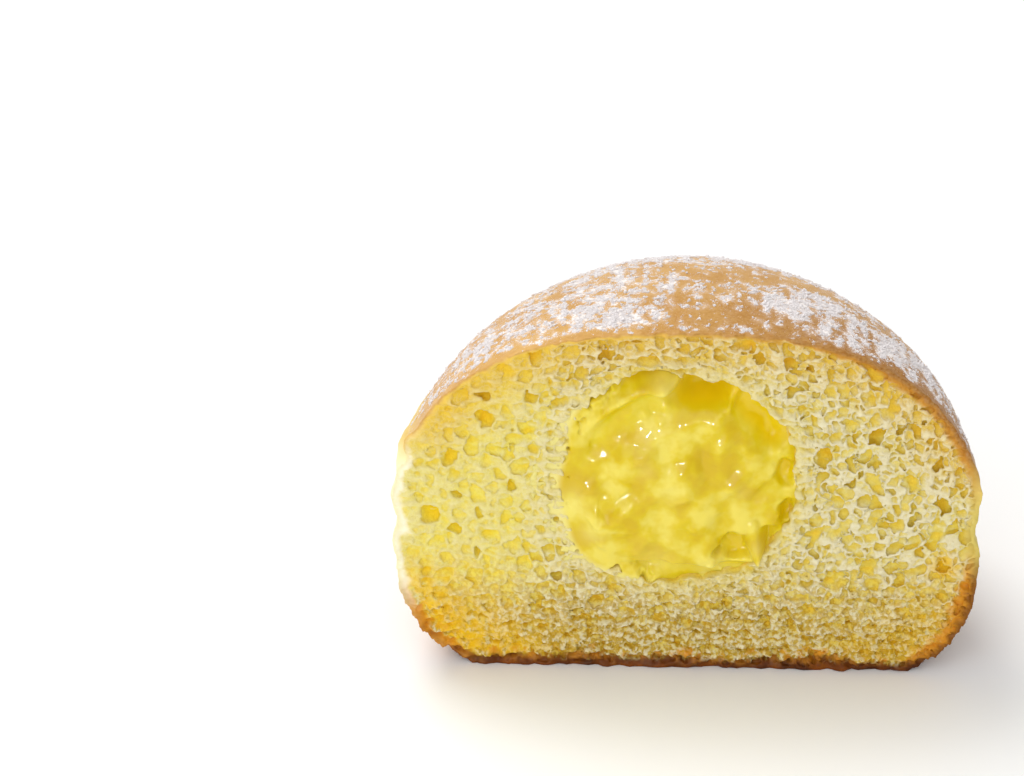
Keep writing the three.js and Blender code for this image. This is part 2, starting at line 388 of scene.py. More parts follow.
def find_axis():
    """Where the bun's axis stands in the frame, from the dough's box."""
    low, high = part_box("dough")
    rng = np.random.default_rng(3)
    direction = rng.normal(size=(200_000, 3))
    direction /= np.linalg.norm(direction, axis=1, keepdims=True)
    across = skin_point(direction)
    across = across[across[:, 1] > CUT_Y, 0]
    middle = (across.min() + across.max()) / 2
    return Vector(((low.x + high.x) / 2 - middle * MM, low.y - CUT_Y * MM, low.z))


AXIS = find_axis()


def belt_edges(turn):
    """Heights between which the skin is pale, round the bun."""
    behind = np.maximum(np.sin(turn), 0)
    widens = BELT_WIDENS * np.cos(turn)
    sinks = BELT_SINKS * behind
    upper = BELT_TOP - widens - sinks + BELT_WAVER * np.sin(4 * turn + 1)
    lower = BELT_BOTTOM + widens - sinks + BELT_WAVER * np.sin(3 * turn)
    return lower, upper


def folded_in(under, reach):
    """1 just below a fold, 0 above it, and less and less further down."""
    return ease(under, -FOLD_EDGE, FOLD_EDGE) * np.exp(-np.maximum(under, 0) / reach)


def belt_folds(turn, z):
    """How deep the belt's two folds are. The lower one comes and goes round the bun."""
    fold_at = FOLD_AT + sum_of_waves(FOLD_WAVES, turn)
    deep = FOLD_DEPTH + sum_of_waves(FOLD_DEPTH_WAVES, turn)
    fold = deep * folded_in(fold_at - z, FOLD_REACH)
    under = fold_at - SECOND_FOLD_BELOW + sum_of_waves(SECOND_FOLD_WAVES, turn) - z
    deep = np.maximum(sum_of_waves(SECOND_FOLD_DEPTH_WAVES, turn), 0)
    return fold + deep * folded_in(under, SECOND_FOLD_REACH)


def relief_beside_cut(x, y, z):
    """How far the skin stands out next to the cut: ragged on the left, stepped on the right."""
    behind = y - CUT_Y
    left = hill(behind, 3.5) * ease(-x, 30, 38) * ease(z, 14, 20) * (1 - ease(z, 40, 43))
    ragged = layered_field(x, 0.5 * y, z, RAGGED_SIDE, count=SKIN_WAVES) + 0.1
    right = hill(behind, 5.0) * ease(x, 30, 38)
    steps = sum(size * hill(z - at, reach) for size, at, reach in SIDE_STEPS)
    return left * ragged + right * steps


def skin_relief(x, y, z):
    """How far the skin stands out from its plain shape: folds of the belt, lumps and dimples."""
    turn = np.arctan2(y, x)
    lower, upper = belt_edges(turn)
    belt = ease(z, lower - 6, lower + 2) * (1 - ease(z, upper - 3, upper + 3))
    away_from_cut = 0.15 + 0.85 * ease(y - CUT_Y, 1, 12)
    size, below, reach = CAP_LIP
    lip = size * hill(z - upper + below, reach)
    lumps = layered_field(x, y, 1.6 * z, BELT_LUMPS, count=SKIN_WAVES)
    dimples = layered_field(x, y, z, DIMPLES, count=SKIN_WAVES)
    folded = belt * (lumps - away_from_cut * belt_folds(turn, z)) + away_from_cut * lip
    return folded + dimples + relief_beside_cut(x, y, z)


def dressed_depth(x, y, z):
    return skin_depth(x, y, z) + skin_relief(x, y, z)


def cream_rim(angle):
    return CREAM_RADIUS + sum_of_waves(RIM_WAVES, angle)


def from_cream(x, y, z):
    """About how far a point lies outside the cream's pocket."""
    across = x - CREAM_X
    up = z - CREAM_Z
    rim = cream_rim(np.arctan2(up, across)) + CREAM_GAP
    back = np.maximum(y - CUT_Y - CREAM_RIM_SETBACK, 0) / (CREAM_DEPTH + CREAM_GAP)
    return (np.sqrt((across**2 + up**2) / rim**2 + back**2) - 1) * CREAM_RADIUS


def coarse_side(x):
    """1 on the left of the cut, where the bubbles are larger and apart, and 0 from the middle."""
    return ease(-x, 14, 28)


def dense_base(z):
    """1 near the base, where the crumb is pressed together, and 0 further up."""
    return ease(-z, -18, -5)


def pressed(x, z):
    """1 beside the cream, where the crumb is drawn into fibres, and 0 further out."""
    return hill(np.maximum(from_cream(x, CUT_Y, z), 0), 3.2)


def open_pores():
    """Rows of centre x, y, z, half width, half height, half depth, lean and swell."""
    rows = []
    for x, z, wide, high, lean in (*OPEN_PORES, OILY_PORE):
        deep = 0.25 + 0.35 * min(wide, high)
        lean = math.radians(lean)
        rows.append((x, CUT_Y + 0.2, z, wide / 2, high / 2, deep, lean, PORE_SWELL))
    return np.array(rows)


def pack_bubbles(bubbles, sizes, apart, seed, level, flatness):
    """Adds bubbles of several sizes, from the largest, wherever they keep apart from the others."""
    rng = np.random.default_rng(seed)
    packed = list(bubbles)
    places = np.full((MOST_BUBBLES, 3), FAR_AWAY)
    places[:len(packed)] = [(b[0], b[2], math.sqrt(b[3] * b[4])) for b in packed]
    for radius, tries in sizes:
        tries = int(tries / LEAST_SHRINK**2)
        x = rng.uniform(-RADIUS, RADIUS, tries)
        z = rng.uniform(0, HEIGHT, tries)
        coarse, dense, fibre = coarse_side(x), dense_base(z), pressed(x, z)
        shrink = np.maximum(1 - BASE_SHRINK * dense - FIBRE_SHRINK * fibre, LEAST_SHRINK)
        size = radius * (shrink + COARSE_GROWTH * coarse)
        y = CUT_Y + size * rng.uniform(*level, tries)
        stretch = CELL_STRETCH + FIBRE_STRETCH * fibre - BASE_ROUNDNESS * ease(-z, -26, -13)
        stretch = stretch + rng.uniform(*STRETCH_SPREAD, tries)
        lean = rng.normal(0, LEAN_SPREAD, tries) * (1 + 2 * dense)
        lean = lean - np.arctan2(z - CREAM_Z, x - CREAM_X)
        deep = size * rng.uniform(*flatness, tries) * (1 - COARSE_FLATNESS * coarse)
        swell = CELL_SWELL - COARSE_SWELL * coarse
        half_wide, half_high = size / np.sqrt(stretch), size * np.sqrt(stretch)
        rows = np.stack([x, y, z, half_wide, half_high, deep, lean, swell], axis=1)
        rim = 0.3 + 1.7 * ease(-x, 33, 40) * ease(z, 8, 26)
        fits = (skin_depth(x, y, z) > size + rim) & (z > size + LEAST_RIND)
        fits &= from_cream(x, y, z) > 0.6 * size
        fits &= rng.uniform(size=tries) < (LEAST_SHRINK / shrink) ** 2
        share = apart * (1 + COARSE_APART * coarse)
        for new, across, least in zip(rows[fits], size[fits], share[fits]):
            others = places[:len(packed)]
            away = np.hypot(others[:, 0] - new[0], others[:, 1] - new[2])
            if (away > least * (others[:, 2] + across)).all():
                places[len(packed)] = new[0], new[2], across
                packed.append(new)
    return packed


def inside_bubble(bubble, warped, low):
    """The block of the grid round a bubble, and a field on it that is below 0 inside the bubble."""
    centre, (half_wide, half_high, half_deep, lean, swell) = bubble[:3], bubble[3:]
    reach = max(half_wide, half_high, half_deep) * swell + 0.8
    first = np.maximum(((centre - reach - low) / VOXEL).astype(int), 0)
    last = ((centre + reach - low) / VOXEL).astype(int) + 2
    block = tuple(slice(a, b) for a, b in zip(first, last))
    away_x, away_y, away_z = (w[block] - c for w, c in zip(warped, centre))
    along = away_x * math.sin(lean) + away_z * math.cos(lean)
    across = away_x * math.cos(lean) - away_z * math.sin(lean)
    stretched = (across / half_wide) ** 2 + (along / half_high) ** 2 + (away_y / half_deep) ** 2
    return block, (np.sqrt(stretched) - swell) * half_wide


def crumb_cavities(x, y, z, low):
    """A field that is below 0 in the cells, with thin walls between them, and in the holes."""
    warped = [
        axis + 0.22 * random_field(x, y, z, 1 + i, 2.4) + 0.1 * random_field(x, y, z, 11 + i, 1.0)
        for i, axis in enumerate((x, z))
    ]
    warped.insert(1, y)
    pores = open_pores()
    cells = pack_bubbles(pores, CELLS, CELL_APART, 7, CELL_LEVEL, CELL_FLATNESS)
    holes = pack_bubbles(pores, HOLES, HOLE_APART, 8, HOLE_LEVEL, HOLE_FLATNESS)
    nearest = np.full(warped[0].shape, 9.0, np.float32)
    second = nearest.copy()
    for bubble in cells:
        block, inside = inside_bubble(bubble, warped, low)
        second[block] = np.minimum(second[block], np.maximum(nearest[block], inside))
        nearest[block] = np.minimum(nearest[block], inside)
    wall = CELL_WALL + COARSE_WALL * coarse_side(x) + 0.06 * random_field(x, y, z, 20, 4.0)
    cavity = np.maximum(nearest, wall - (second - nearest))
    for bubble in holes[len(pores):]:
        block, inside = inside_bubble(bubble, warped, low)
        cavity[block] = np.minimum(cavity[block], inside)
    rind = np.maximum(LEAST_RIND - skin_depth(x, y, z), LEAST_RIND - z)
    return np.maximum(cavity, rind)


def surface_of(field, axes):
    """Points and quads of the surface where a field on a grid is 0, without hollows and scraps."""
    grid = openvdb.FloatGrid()
    grid.background = 1.0
    grid.copyFromArray(field.astype(np.float32))
    points, _, quads = grid.convertToPolygons(isovalue=0.0)
    quads = quads.astype(np.int64)
    label = np.arange(len(points))
    while True:
        least = label[quads].min(axis=1)
        merged = label.copy()
        np.minimum.at(merged, quads.ravel(), np.repeat(least, 4))
        merged = merged[merged]
        if (merged == label).all():
            break
        label = merged
    names, sizes = np.unique(label, return_counts=True)
    kept = label == names[sizes.argmax()]
    renumber = np.cumsum(kept) - 1
    places = [np.interp(p, np.arange(len(axis)), axis) for p, axis in zip(points[kept].T, axes)]
    return np.stack(places, axis=1), renumber[quads[kept[quads[:, 0]]]]


def mesh_object(name, points, faces):
    """A mesh object in the frame, from points in millimetres round the bun's axis."""
    mesh = bpy.data.meshes.new(name)
    places = np.asarray(points, np.float64) * MM + np.array(AXIS)
    faces = np.asarray(faces, np.int32)
    corners = faces.shape[1]
    mesh.vertices.add(len(places))
    mesh.vertices.foreach_set("co", places.astype(np.float32).ravel())
    mesh.loops.add(faces.size)
    mesh.loops.foreach_set("vertex_index", faces.ravel())
    mesh.polygons.add(len(faces))
    mesh.polygons.foreach_set("loop_start", np.arange(0, faces.size, corners, dtype=np.int32))
    mesh.update(calc_edges=True)
    mesh.validate()
    mesh.shade_smooth()
    piece = bpy.data.objects.new(name, mesh)
    bpy.context.scene.collection.objects.link(piece)
    return piece


def points_of(piece):
    """A piece's vertices, in millimetres round the bun's axis."""
    places = np.empty(len(piece.data.vertices) * 3, np.float32)
    piece.data.vertices.foreach_get("co", places)
    return (places.reshape(-1, 3) - np.array(AXIS)) / MM


def triangles_of(piece):
    return len(piece.data.loops) - 2 * len(piece.data.polygons)


def set_attribute(piece, name, values):
    attribute = piece.data.attributes.new(name, "FLOAT", "POINT")
    attribute.data.foreach_set("value", np.asarray(values, np.float32))


def thin_out(piece, chosen, triangles):
    """Merges faces among the chosen vertices until the piece has this many triangles."""
    group = piece.vertex_groups.new(name="thin")
    group.add(np.flatnonzero(chosen).tolist(), 1.0, "REPLACE")
    modifier = piece.modifiers.new("thin", "DECIMATE")
    modifier.ratio = min(1.0, triangles / triangles_of(piece))
    modifier.vertex_group = group.name
    evaluated = piece.evaluated_get(bpy.context.evaluated_depsgraph_get())
    thinned = bpy.data.meshes.new_from_object(evaluated)
    piece.modifiers.clear()
    piece.vertex_groups.clear()
    piece.data = thinned
    piece.data.shade_smooth()


def ridges_of(piece, rounds):
    """How far each vertex stands out, in millimetres, from the surface smoothed in rounds."""
    mesh = piece.data
    ends = np.empty(len(mesh.edges) * 2, np.int32)
    mesh.edges.foreach_get("vertices", ends)
    first, last = ends.reshape(-1, 2).T
    normals = np.empty(len(mesh.vertices) * 3, np.float32)
    mesh.vertex_normals.foreach_get("vector", normals)
    place = points_of(piece)
    count = len(place)
    neighbours = np.bincount(first, minlength=count) + np.bincount(last, minlength=count)
    smooth = place.copy()
    for _ in range(rounds):
        for axis in range(3):
            values = smooth[:, axis]
            total = np.bincount(first, values[last], count)
            total = total + np.bincount(last, values[first], count)
            smooth[:, axis] = (values + total / neighbours) / 2
    return ((place - smooth) * normals.reshape(-1, 3)).sum(axis=1)


def make_dough():
    ahead, beside, behind, below, above = ROOM
    fine = np.arange(CUT_Y - ahead, CUT_Y + SLAB, VOXEL)
    steps = np.minimum(VOXEL * VOXEL_GROWTH ** np.arange(1, 99), THICKEST_LAYER)
    layers = fine[-1] + np.cumsum(steps)
    side = RADIUS + beside
    axes = [
        np.arange(-side, side, VOXEL, dtype=np.float32),
        np.concatenate([fine, layers[layers < BACK_RADIUS + behind]]).astype(np.float32),
        np.arange(-below, HEIGHT + above, VOXEL, dtype=np.float32),
    ]
    x, y, z = np.meshgrid(*axes, indexing="ij", sparse=True)
    body = np.maximum(-dressed_depth(x, y, z), -z).astype(np.float32)
    pocket = from_cream(x, y, z) + layered_field(x, y, z, POCKET_ROUGHNESS)
    body = np.maximum(body, -pocket)
    front = (slice(None), slice(0, len(fine)))
    y = y[front]
    tufts = np.maximum(dense_base(z), 0.7 * pressed(x, z)) * ease(z, 0.3, 2.5)
    torn = 0.0
    for size, extra, seed, length in TEARS:
        torn = torn + (size + extra * tufts) * random_field(x, 0 * y, z, seed, length)
    body[front] = np.maximum(body[front], CUT_Y + torn - y)
    low = np.array([axis[0] for axis in axes])
    body[front] = np.maximum(body[front], -crumb_cavities(x, y - torn, z, low))
    piece = mesh_object("dough_half", *surface_of(body, axes))
    place = points_of(piece)
    on_crust = (place[:, 1] > CUT_Y + 1.0) & (dressed_depth(*place.T) < ON_SKIN)
    on_crust |= (place[:, 1] > CUT_Y + SLAB) | (place[:, 2] < 0.1)
    crust_share = on_crust[np.array([p.vertices[0] for p in piece.data.polygons])].mean()
    crust_now = int(crust_share * triangles_of(piece))
    thin_out(piece, on_crust, triangles_of(piece) - crust_now + CRUST_TRIANGLES)
    place = points_of(piece)
    on_crumb = (place[:, 1] < CUT_Y + SLAB) & (dressed_depth(*place.T) > ON_SKIN)
    thin_out(piece, on_crumb, CRUST_TRIANGLES + CRUMB_TRIANGLES)
    return piece


def under_skin(x, y, z, inside, cap, base, grain):
    """How far below the skin a point lies, as a share of the rind's thickness there."""
    rind = RIND + RIND_IN_BELT * (1 - cap) + RIND_RIGHT_OF_CAP * cap * ease(x, 15, 32)
    rind = rind + RIND_RIGHT_OF_BASE * base * ease(x, 26, 38)
    rind = rind + RIND_LEFT_OF_BASE * base * ease(-x, 26, 36)
    rind = np.maximum(rind + RIND_ROUGHNESS * grain * (0.5 + base), THINNEST_RIND)
    sole = SOLE + 0.5 * grain + layered_field(x, y, z, SOLE_WAVER)
    return np.minimum(inside / rind, (z + 0.05) / np.maximum(sole, THINNEST_SOLE))


def oily_share(x, z, inside, grain):
    """How much oil has soaked the crumb: in the two low corners and in one open pore."""
    corner = ease(-z, -24, -9) * ease(np.abs(x), 12, 30) * (0.85 - 0.3 * np.sign(x))
    oily = corner * hill(np.minimum(inside, 1.6 * z), 11.0) * ease(grain, -2.4, 0.4)
    from_pore = np.hypot(x - OILY_PORE[0], z - OILY_PORE[1])
    return np.maximum(oily, hill(from_pore, 2.2) * ease(inside, 0.2, 1.2))


def dress_dough(piece):
    """Values at the vertices that the dough's material takes its colours from."""
    x, y, z = points_of(piece).T.astype(np.float64)
    behind = y - CUT_Y
    inside = np.maximum(dressed_depth(x, y, z), 0)
    lower, upper = belt_edges(np.arctan2(y, x))
    waver = layered_field(x, y, z, *BROWNING_WAVER)
    grain = layered_field(x, y, z, *RIND_GRAIN)
    cap = ease(z, upper - 5 + waver, upper + 5 + waver)
    base = 1 - ease(z, lower - 6 + waver, lower + 3 + waver)
    below = under_skin(x, y, z, inside, cap, base, grain)
    values = {
        "pit": np.maximum(behind, 0),
        "ridge": ridges_of(piece, rounds=8),
        "crust": 1 - ease(below, 0.55, 1.15),
        "skin": 1 - ease(below, 0.1, 0.6),
        # Painted shade: the crumb is painted darker towards the bottom, as if lit from above.
        "low": ease(-z, -24, -3),
        "sole": 1 - ease(z + 0.5 * grain, 0.6, 4.0),
        # Painted shade: the skin and rind are painted darker towards +X beside the cut, as if lit
        # from the left.
        "top": cap * hill(inside, 7.0),
        "side": ease(x, -30, 30) * hill(behind, 20),
        "cap": cap,
        "fried": (1 - ease(z, upper + 2, upper + 17)) * ease(behind, 3, 18),
        "base": base,
        "soak": hill(np.maximum(from_cream(x, y, z), 0), 2.2),
        "oily": oily_share(x, z, inside, grain),
        # Painted light: the coarse crumb on the left is painted brighter and more yellow, as if lit
        # through from behind.
        "painted_backlight": coarse_side(x) * ease(z, 8, 18),
        "dust": heaped_sugar(x, y, z, FILM_SOFTNESS),
    }
    for name, value in values.items():
        set_attribute(piece, name, value)


def sugar_share(x, y, z):
    """How much icing sugar lies on the skin, from 0 to about 1."""
    behind = y - CUT_Y
    share = 0.5 + 0.12 * random_field(x, y, 0 * z, 41, 18.0)
    for at_x, at_y, reach_x, reach_y, weight in SUGAR_DRIFTS:
        away = np.hypot((x - at_x) / reach_x, (behind - at_y) / reach_y)
        share = share + weight * hill(away, 1.0)
    share = share * ease(z, 36, 50)
    return np.clip(share * ease(behind, 0.0, 2.6), 0, 1.2)


def heaped_sugar(x, y, z, softness):
    """How much of the skin the clumps of sugar cover, from 0 to 1."""
    clumps = layered_field(x, y, z, *SUGAR_CLUMPING)
    amount = sugar_share(x, y, z)
    return ease(amount * 1.25 + clumps, 1 - softness, 1 + softness) * (amount > 0.02)


def scatter_grains(name, seed, tries, most, softness, stray, size, shape):
    """Grains on the skin where the sugar lies, each a turned and uneven copy of a small shape."""
    corners, faces = np.array(shape[0], float), np.array(shape[1])
    corners /= np.linalg.norm(corners, axis=1, keepdims=True)
    rng = np.random.default_rng(seed)
    direction = rng.normal(size=(tries, 3))
    direction[:, 1:] = np.abs(direction[:, 1:])
    direction /= np.linalg.norm(direction, axis=1, keepdims=True)
    place = skin_point(direction)
    heaped = heaped_sugar(*place.T, softness)
    chosen = rng.uniform(size=tries) < heaped + stray * sugar_share(*place.T)
    chosen = np.flatnonzero(chosen & (place[:, 1] > CUT_Y + 0.3))
    chosen = chosen[:most]
    count = len(chosen)
    place, out, heaped = place[chosen], direction[chosen], heaped[chosen]
    place = place + out * skin_relief(*place.T)[:, None]
    radius = size * (0.6 + 0.6 * heaped) * rng.lognormal(0, 0.35, count)
    place = place + out * (radius * rng.uniform(-0.1, 0.8, count))[:, None]
    turn, _ = np.linalg.qr(rng.normal(size=(count, 3, 3)))
    turn[:, :, 0] *= np.sign(np.linalg.det(turn))[:, None]
    uneven = corners * rng.uniform(0.65, 1.25, (count, len(corners), 1))
    points = np.einsum("nij,nkj->nki", turn, uneven) * radius[:, None, None] + place[:, None, :]
    faces = faces + len(corners) * np.arange(count)[:, None, None]
    return mesh_object(name, points.reshape(-1, 3), faces.reshape(-1, 3))


def from_segment(across, up, start, end):
    """Distance from a line between two points, its left side, and the share of the way along it."""
    run = np.subtract(end, start)
    away_x, away_z = across - start[0], up - start[1]
    share = np.clip((away_x * run[0] + away_z * run[1]) / (run @ run), 0, 1)
    left = run[0] * away_z > run[1] * away_x
    return np.hypot(away_x - share * run[0], away_z - share * run[1]), left, share


def mound(across, up, size, at, height, reach_across, reach_up, power):
    """A hill with a reach of its own each way. A power above 2 flattens its top."""
    wide = ((across - at) / reach_across) ** power
    return size * np.exp(-wide - ((up - height) / reach_up) ** power)


def torn_edge(across, up, height, reach, points):
    """How far the cream stands out beside a torn edge, which fades towards its two ends."""
    nearest = np.full(np.broadcast(across, up).shape, 1e3)
    on_left = np.zeros(nearest.shape, bool)
    way = np.zeros(nearest.shape)
    for i, (start, end) in enumerate(zip(points, points[1:])):
        away, left, share = from_segment(across, up, start, end)
        closer = away < nearest
        nearest = np.where(closer, away, nearest)
        on_left = np.where(closer, left, on_left)
        way = np.where(closer, i + share, way)
    fade = np.sqrt(np.sin(math.pi * way / (len(points) - 1)).clip(0, 1))
    side = np.where(on_left, nearest, -nearest)
    return height * fade * ease(side, -0.7, 0.7) * np.exp(-np.maximum(side, 0) / reach)


def ridge(away, along, size, at, reach, start, full, fading, end):
    """A ridge beside a line or ring that rises from start to full and sinks from fading to end."""
    return size * hill(away - at, reach) * ease(along, start, full) * (1 - ease(along, fading, end))


def cream_mass(across, up, out, angle):
    """How far behind the cut the cream lies above its lip, with its torn edges, dips and grooves."""
    away = (across - BELLY_AT[0]) ** 2 + (up - BELLY_AT[1]) ** 2
    mass = BELLY_FALL * away - BELLY
    mass = mass + layered_field(across, 0, up, *BELLY_ROUGHNESS)
    for height, reach, points in CREAM_EDGES:
        mass = mass - torn_edge(across, up, height, reach, points)
    for dip in CREAM_DIPS:
        mass = mass + mound(across, up, *dip)
    return mass + ridge(out, angle, *RIM_GROOVE) + ridge(across, up, *LEFT_GROOVE)


def cream_hollow(across, up):
    """1 in the hollows of the cream, and 0 outside their ragged edges."""
    ragged = layered_field(across, 0, up, *HOLLOW_ROUGHNESS)
    hollow = 0.0
    for at, height, half_width, half_height in CREAM_NOTCHES:
        away = np.hypot((across - at) / half_width, (up - height) / half_height) + 0.35 * ragged
        hollow = np.maximum(hollow, 1 - ease(away, 0.4, 1.25))
    return hollow


def cream_front(across, up):
    """How far behind the cut the cream's front lies."""
    out = np.hypot(across, up)
    angle = np.degrees(np.arctan2(up, across))
    thin = THIN_LEVEL + layered_field(across, 0, up, THIN_ROUGHNESS)
    above_lip = up - LIP_HEIGHT + LIP_WAVER * np.sin(across * 0.55) + LIP_DROPS * ease(across, 2, 6.5)
    front = thin + (cream_mass(across, up, out, angle) - thin) * ease(above_lip, -0.1, 1.1)
    front = front + (thin + HOLLOW_DEPTH - front) * cream_hollow(across, up)
    from_drip, _, along_drip = from_segment(across, up, *DRIP)
    width = DRIP_RADIUS - DRIP_NARROWS * along_drip
    front = np.minimum(front, DRIP_HEIGHT * (from_drip / width) ** 2 - DRIP_HEIGHT)
    front = front - ridge(out, angle, *RIM_ROLL)
    for flap in CREAM_FLAPS:
        front = front - mound(across, up, *flap)
    for at, height in CREAM_BEADS:
        front = front - BEAD_HEIGHT * hill(np.hypot(across - at, up - height), BEAD_REACH)
    return front


def film_width(angle):
    """How far the cream is smeared past its rim: on the left, and not on the right."""
    from_left = (angle - SMEAR_MIDDLE + math.pi) % (2 * math.pi) - math.pi
    return SMEAR_LEAST + SMEAR_WIDTH * hill(from_left, SMEAR_SPREAD)


def make_cream():
    beside, ahead, behind = CREAM_ROOM
    half = CREAM_RADIUS + beside
    axes = [
        np.arange(CREAM_X - half, CREAM_X + half, CREAM_VOXEL, dtype=np.float32),
        np.arange(CUT_Y - ahead, CUT_Y + CREAM_DEPTH + behind, CREAM_VOXEL, dtype=np.float32),
        np.arange(CREAM_Z - half, CREAM_Z + half, CREAM_VOXEL, dtype=np.float32),
    ]
    x, y, z = np.meshgrid(*axes, indexing="ij", sparse=True)
    across, up = x - CREAM_X, z - CREAM_Z
    out = np.hypot(across, up)
    angle = np.arctan2(up, across)
    ragged = layered_field(x, 0 * y, z, *SMEAR_ROUGHNESS)
    film = film_width(angle) * (1 + ragged)
    past_rim = out - cream_rim(angle)
    bowl = from_cream(x, y, z) - CREAM_GAP + layered_field(x, y, z, POCKET_ROUGHNESS)
    bowl = np.minimum(bowl, np.maximum(past_rim - film, y - CUT_Y - SMEAR_DEPTH))
    front = cream_front(across, up)
    smeared = SMEAR_FRONT + SMEAR_SINKS * ease(past_rim, 0.3, 2.6)
    front = front + (smeared - front) * ease(past_rim, -4.5, -0.3) * ease(film, -0.2, 0.8)
    body = np.maximum(bowl, CUT_Y + front - y)
    piece = mesh_object("cream_filling", *surface_of(body, axes))
    x, y, z = points_of(piece).T.astype(np.float64)
    across, up = x - CREAM_X, z - CREAM_Z
    past_rim = np.hypot(across, up) - cream_rim(np.arctan2(up, across))
    set_attribute(piece, "thin", ease(past_rim, -0.3, 1.2))
    # Painted highlights on the proud parts of the cream.
    pale = sum(
        share * hill(np.hypot(across - at, up - height), reach)
        for at, height, reach, share in PAINTED_CREAM_HIGHLIGHTS
    )
    set_attribute(piece, "pale", np.clip(pale, 0, 1))
    set_attribute(piece, "depth", y - CUT_Y)
    return piece


class Graph:
    """A material, and short ways to add nodes to it."""

    def __init__(self, name):
        self.material = bpy.data.materials.new(name)
        self.material.use_nodes = True
        self.tree = self.material.node_tree
        self.shader = self.tree.nodes["Principled BSDF"]
        self.place = self.add("ShaderNodeTexCoord", "Object")

    def add(self, kind, output, inputs=None, **settings):
        node = self.tree.nodes.new(kind)
        for name, value in settings.items():
            setattr(node, name, value)
        for name, value in (inputs or {}).items():
            self.put(node.inputs[name], value)
        return node.outputs[output]

    def put(self, socket, value):
        if isinstance(value, bpy.types.NodeSocket):
            self.tree.links.new(value, socket)
        else:
            socket.default_value = value

    def shade(self, **values):
        for name, value in values.items():
            self.put(self.shader.inputs[name.replace("_", " ")], value)

    def attribute(self, name):
        return self.add("ShaderNodeAttribute", "Fac", attribute_name=name)

    def part(self, name, share):
        """An attribute, scaled down to this share."""
        return self.math("MULTIPLY", self.attribute(name), share)

    def noise(self, length, detail, stretch=None):
        """A noise texture with features of about this many millimetres."""
        place = self.place
        if stretch:
            inputs = {0: place, 1: stretch}
            place = self.add("ShaderNodeVectorMath", 0, inputs, operation="MULTIPLY")
        inputs = {"Vector": place, "Scale": 1 / (length * MM), "Detail": detail}
        return self.add("ShaderNodeTexNoise", 0, inputs)

    def cells(self, length, warp):
        """How far inside a cell of about this many millimetres a point lies. The walls waver."""
        scale = 1 / (length * MM)
        shift = self.add("ShaderNodeTexNoise", "Color", {"Vector": self.place, "Scale": scale})
        inputs = {0: shift, 1: (warp * MM, warp * MM, warp * MM), 2: self.place}
        place = self.add("ShaderNodeVectorMath", 0, inputs, operation="MULTIPLY_ADD")
        inputs = {"Vector": place, "Scale": scale}
        return self.add("ShaderNodeTexVoronoi", "Distance", inputs, feature="DISTANCE_TO_EDGE")

    def math(self, operation, first, second):
        return self.add("ShaderNodeMath", 0, {0: first, 1: second}, operation=operation)

    def spread(self, value, start, end, low=0.0, high=1.0):
        inputs = {"Value": value, "From Min": start, "From Max": end, "To Min": low, "To Max": high}
        return self.add("ShaderNodeMapRange", 0, inputs)

    def mix(self, share, first, second, blend="MIX"):
        inputs = {0: share, 6: first, 7: second}
        return self.add("ShaderNodeMix", 2, inputs, data_type="RGBA", blend_type=blend)

    def ramp(self, value, stops):
        node = self.tree.nodes.new("ShaderNodeValToRGB")
        elements = node.color_ramp.elements
        while len(elements) < len(stops):
            elements.new(0.5)
        for element, (place, colour) in zip(elements, stops):
            element.position = place
            element.color = colour
        self.put(node.inputs["Fac"], value)
        return node.outputs["Color"]

    def bump(self, height, distance, strength):
        inputs = {"Height": height, "Distance": distance * MM, "Strength": strength}
        return self.add("ShaderNodeBump", 0, inputs)


def screen(red, green, blue):
    """A colour as it is on the screen, 0 to 255, in the linear values that shaders use."""
    values = []
    for level in (red, green, blue):
        share = level / 255
        values.append(share / 12.92 if share <= 0.04045 else ((share + 0.055) / 1.055) ** 2.4)
    return (*values, 1.0)


